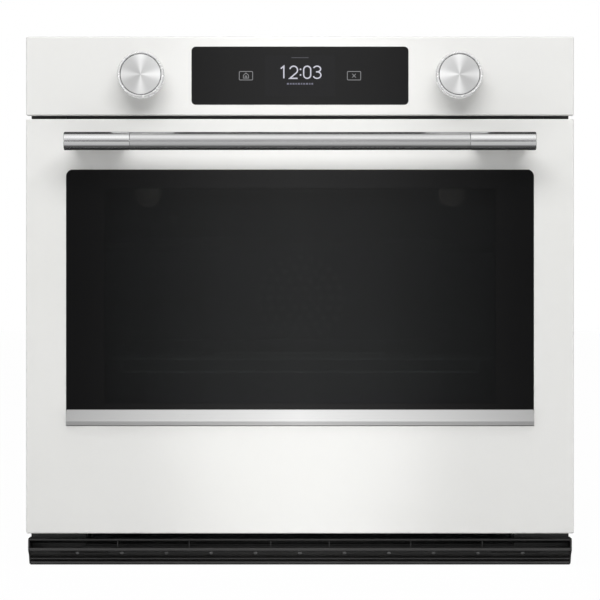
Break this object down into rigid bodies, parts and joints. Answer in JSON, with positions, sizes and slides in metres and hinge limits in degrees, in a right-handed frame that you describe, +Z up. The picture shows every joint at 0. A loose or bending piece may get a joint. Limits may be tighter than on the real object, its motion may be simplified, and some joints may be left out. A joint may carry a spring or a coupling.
{
  "type": "wall oven",
  "caption": "Built-in single wall oven with a drop-down glass door, tubular handle, two push-turn knobs, a dark display and a louvred bottom vent.",
  "frame": {"origin": "bottom centre of the overall box, at the height of the base runners' undersides", "axes": "+Z up, +X to the right as seen from the front, and the front faces -Y"},
  "size_m": [0.762, 0.7, 0.738],
  "materials": {
    "white_enamel": "gloss",
    "black_paint": "satin",
    "zinc_sheet": "satin",
    "cavity_enamel": "gloss",
    "mineral_wool": "matte",
    "woven_gasket": "matte",
    "heater_sheath": "matte",
    "motor_steel": "satin",
    "black_glass": "gloss",
    "clear_glass": "gloss",
    "satin_aluminium": "satin",
    "knob_aluminium": "satin",
    "handle_steel": "satin",
    "polished_steel": "polished",
    "circuit_board": "satin",
    "black_plastic": "matte",
    "pale_plastic": "matte",
    "spring_steel": "satin",
    "rack_chrome": "polished",
    "fan_aluminium": "satin",
    "screw_steel": "satin",
    "lamp_glass": "gloss"
  },
  "bodies": {
    "chassis": {"front_frame": "black_paint", "mounting_rails": "black_paint", "left_side_panel": "zinc_sheet", "right_side_panel": "zinc_sheet", "top_panel": "zinc_sheet", "back_panel": "zinc_sheet", "base_pan": "zinc_sheet", "base_runners": "zinc_sheet", "cavity_left_wall": "cavity_enamel", "cavity_right_wall": "cavity_enamel", "cavity_ceiling": "cavity_enamel", "cavity_floor": "cavity_enamel", "cavity_back_wall": "cavity_enamel", "insulation_blanket": "mineral_wool", "door_gasket": "woven_gasket", "broil_element": "heater_sheath", "bake_element": "heater_sheath", "convection_element": "heater_sheath", "fan_baffle": "cavity_enamel", "convection_motor": "motor_steel", "cavity_lamps": "lamp_glass", "temperature_probe": "screw_steel", "control_fascia": "white_enamel", "fascia_carrier": "black_plastic", "display_glass": "black_glass", "display_board": "circuit_board", "knob_encoders": "motor_steel", "power_board": "circuit_board", "blower_housing": "zinc_sheet", "blower_motor": "motor_steel", "cooling_duct": "zinc_sheet", "vent_trim": "black_paint", "vent_louver": "black_paint", "hinge_arms": "motor_steel", "latch_motor": "motor_steel", "junction_box": "zinc_sheet", "chassis_fasteners": "screw_steel"},
    "door": {"door_skin": "white_enamel", "outer_glass": "black_glass", "sill_trim": "satin_aluminium", "inner_glass_pack": "clear_glass", "door_liner": "cavity_enamel", "door_insulation": "mineral_wool", "door_top_trim": "black_plastic", "handle_bar": "handle_steel", "handle_sleeves": "polished_steel", "handle_posts": "satin_aluminium", "door_fasteners": "screw_steel", "hinge_channels": "motor_steel", "hinge_springs": "spring_steel"},
    "hinge_rods": {"hinge_rods": "motor_steel"},
    "left_knob": {"left_knob": "knob_aluminium"},
    "right_knob": {"right_knob": "knob_aluminium"},
    "left_plunger": {"left_plunger": "pale_plastic"},
    "right_plunger": {"right_plunger": "pale_plastic"},
    "upper_rack": {"upper_rack": "rack_chrome"},
    "lower_rack": {"lower_rack": "rack_chrome"},
    "convection_fan": {"convection_fan": "fan_aluminium"},
    "blower_wheel": {"blower_wheel": "fan_aluminium"},
    "latch_hook": {"latch_hook": "screw_steel"}
  },
  "joints": [
    {"name": "door_hinge", "type": "hinge", "parent": "chassis", "child": "door", "pos_m": [0, -0.27, 0.0735], "axis": [1, 0, 0], "range_deg": [0, 90], "stiffness_Nm_per_rad": 22, "springref_deg": -17.19, "deforming": ["hinge_springs"]},
    {"name": "hinge_rods_slide", "type": "slide", "parent": "door", "child": "hinge_rods", "axis": [0, 0, 1], "range_m": [-0.0161, 0], "deforming": ["hinge_springs"]},
    {"name": "left_knob_push", "type": "slide", "parent": "chassis", "child": "left_plunger", "axis": [0, 1, 0], "range_m": [0, 0.0015], "stiffness_N_per_m": 1500},
    {"name": "left_knob_turn", "type": "hinge", "parent": "left_plunger", "child": "left_knob", "pos_m": [-0.2205, -0.305, 0.6835], "axis": [0, 1, 0], "continuous": true},
    {"name": "right_knob_push", "type": "slide", "parent": "chassis", "child": "right_plunger", "axis": [0, 1, 0], "range_m": [0, 0.0015], "stiffness_N_per_m": 1500},
    {"name": "right_knob_turn", "type": "hinge", "parent": "right_plunger", "child": "right_knob", "pos_m": [0.2205, -0.305, 0.6835], "axis": [0, 1, 0], "continuous": true},
    {"name": "upper_rack_slide", "type": "slide", "parent": "chassis", "child": "upper_rack", "axis": [0, -1, 0], "range_m": [0, 0.02]},
    {"name": "lower_rack_slide", "type": "slide", "parent": "chassis", "child": "lower_rack", "axis": [0, -1, 0], "range_m": [0, 0.02]},
    {"name": "convection_fan_spin", "type": "hinge", "parent": "chassis", "child": "convection_fan", "pos_m": [0, 0.245, 0.3745], "axis": [0, -1, 0], "continuous": true},
    {"name": "blower_wheel_spin", "type": "hinge", "parent": "chassis", "child": "blower_wheel", "pos_m": [0.21, 0.23, 0.665], "axis": [0, 0, 1], "continuous": true},
    {"name": "latch_hook_turn", "type": "hinge", "parent": "chassis", "child": "latch_hook", "pos_m": [-0.06, -0.222, 0.617], "axis": [0, 0, 1], "range_deg": [-25, 0]}
  ],
  "couplings": [
    {"joint": "hinge_rods_slide", "follows": "door_hinge", "m_per_rad": -0.010186}
  ]
}
